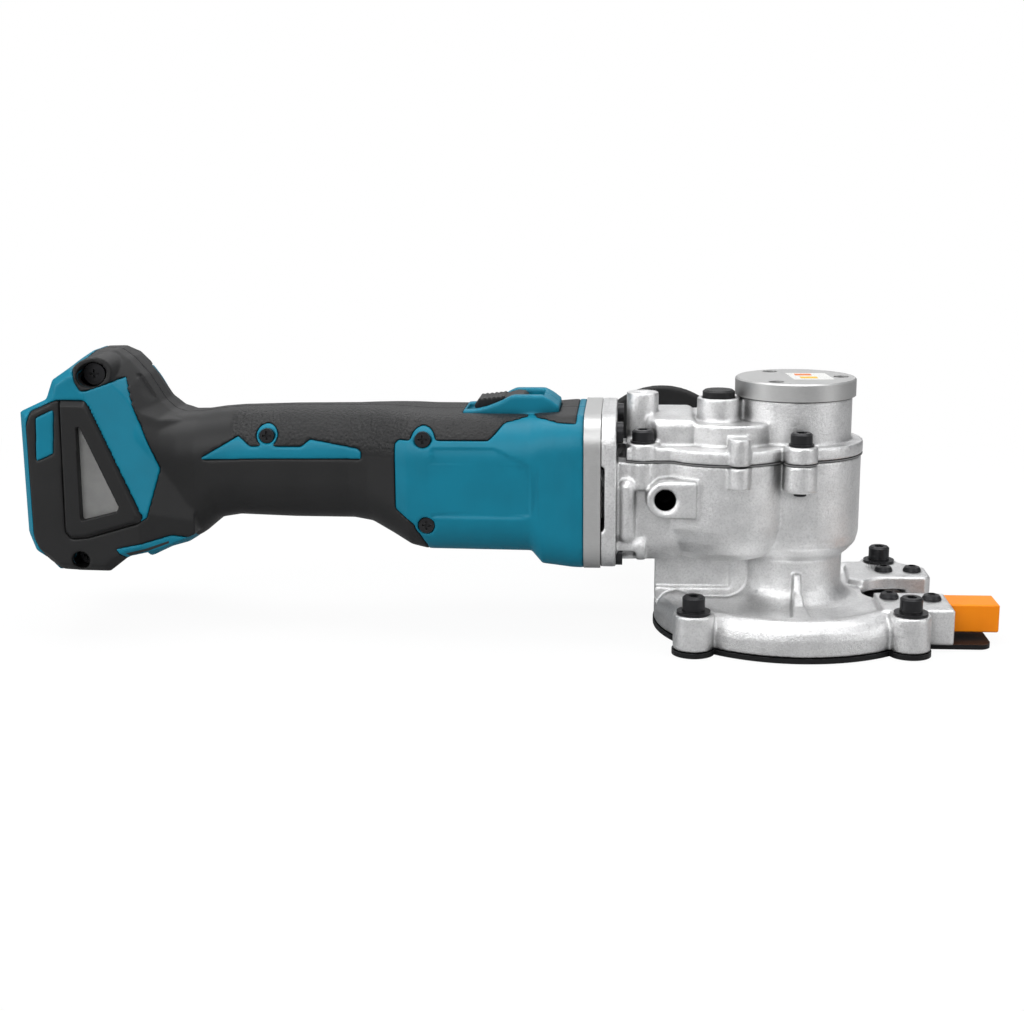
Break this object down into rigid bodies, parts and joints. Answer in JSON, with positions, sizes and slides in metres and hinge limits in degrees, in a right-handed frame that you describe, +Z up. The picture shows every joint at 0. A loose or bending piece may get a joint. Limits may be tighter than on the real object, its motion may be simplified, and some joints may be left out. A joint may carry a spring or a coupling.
{
  "type": "cordless rebar flush cutting saw",
  "caption": "Cordless in-line saw with a cast gear head and a small guarded disc blade in a forked round base, for cutting bars flush; no battery fitted.",
  "frame": {"origin": "where the blade spindle axis meets the underside of the shoe plate", "axes": "+Z up along the spindle toward the end cap, +X out through the mouth, away from the grip, +Y to the side that carries the auxiliary handle"},
  "size_m": [0.3896, 0.215, 0.1149],
  "materials": {
    "teal_plastic": "satin moulded nylon",
    "black_elastomer": "fine-grained soft overmould",
    "black_plastic": "moulded",
    "cast_aluminium": "bead-blasted casting",
    "machined_aluminium": "matte machined",
    "black_oxide": "black oxide on steel",
    "black_plate": "black coated steel plate",
    "gear_steel": "ground steel",
    "blade_steel": "fine ground",
    "carbide": "ground carbide",
    "copper": "enamelled copper wire",
    "brass": "plated contact",
    "orange_plastic": "moulded",
    "sticker": "plain film",
    "screen": "fine woven mesh",
    "gasket": "thin sealing sheet",
    "spring_steel": "drawn wire"
  },
  "bodies": {
    "housing": {"shell_near": "teal_plastic", "shell_far": "teal_plastic", "overmould_near": "black_elastomer", "overmould_far": "black_elastomer", "dust_cover_near": "black_plastic", "dust_cover_far": "black_plastic", "dust_screens": "screen", "housing_screws": "black_oxide", "switch_unit": "black_plastic", "terminal_block": "black_plastic", "terminal_blades": "brass", "controller": "black_plastic", "stator_core": "gear_steel", "stator_windings": "copper", "motor_bearing_rear": "gear_steel", "motor_bearing_front": "gear_steel", "bearing_plate": "machined_aluminium", "flange_screws": "black_oxide", "gear_housing": "cast_aluminium", "gear_cover": "cast_aluminium", "cover_gasket": "gasket", "cover_bolts": "black_oxide", "end_cap": "machined_aluminium", "cap_screws": "black_oxide", "cap_sticker": "sticker", "intermediate_bearing_lower": "gear_steel", "intermediate_bearing_upper": "gear_steel", "spindle_bearing_lower": "gear_steel", "spindle_bearing_upper": "gear_steel", "oil_seal": "gasket", "bottom_cover": "black_plate", "base_bolts": "black_oxide", "base_washers": "black_oxide", "spring_washers": "black_oxide", "prong_screws": "black_oxide", "stop_block": "orange_plastic", "block_screw": "black_oxide", "side_handle": "black_elastomer", "handle_stud": "gear_steel", "lock_spring": "spring_steel"},
    "rotor": {"rotor_core": "gear_steel", "motor_shaft": "gear_steel", "cooling_fan": "black_plastic", "bevel_pinion": "gear_steel"},
    "intermediate": {"intermediate_shaft": "gear_steel", "bevel_gear": "gear_steel", "spur_pinion": "gear_steel", "lock_plate": "gear_steel"},
    "blade_spindle": {"spindle": "gear_steel", "spur_gear": "gear_steel", "saw_blade": "blade_steel", "carbide_tips": "carbide", "blade_flange_inner": "gear_steel", "blade_flange_outer": "gear_steel", "blade_bolt": "black_oxide"},
    "switch": {"switch_knob": "black_plastic", "switch_link": "black_plastic"},
    "shaft_lock": {"lock_button": "black_plastic", "lock_pin": "gear_steel"}
  },
  "joints": [
    {"name": "blade_spin", "type": "hinge", "parent": "housing", "child": "blade_spindle", "pos_m": [0, 0, 0.05], "axis": [0, 0, 1], "continuous": true},
    {"name": "intermediate_spin", "type": "hinge", "parent": "housing", "child": "intermediate", "pos_m": [-0.0288, 0, 0.06], "axis": [0, 0, 1], "continuous": true},
    {"name": "rotor_spin", "type": "hinge", "parent": "housing", "child": "rotor", "pos_m": [-0.1, 0, 0.0585], "axis": [1, 0, 0], "continuous": true},
    {"name": "switch_slide", "type": "slide", "parent": "housing", "child": "switch", "axis": [1, 0, 0], "range_m": [0, 0.006]},
    {"name": "shaft_lock_press", "type": "slide", "parent": "housing", "child": "shaft_lock", "axis": [0, 0, -1], "range_m": [0, 0.003], "stiffness_N_per_m": 600, "springref_m": -0.001, "deforming": ["lock_spring"]}
  ],
  "couplings": [
    {"joint": "intermediate_spin", "follows": "blade_spin", "ratio": -2},
    {"joint": "rotor_spin", "follows": "blade_spin", "ratio": 6}
  ]
}
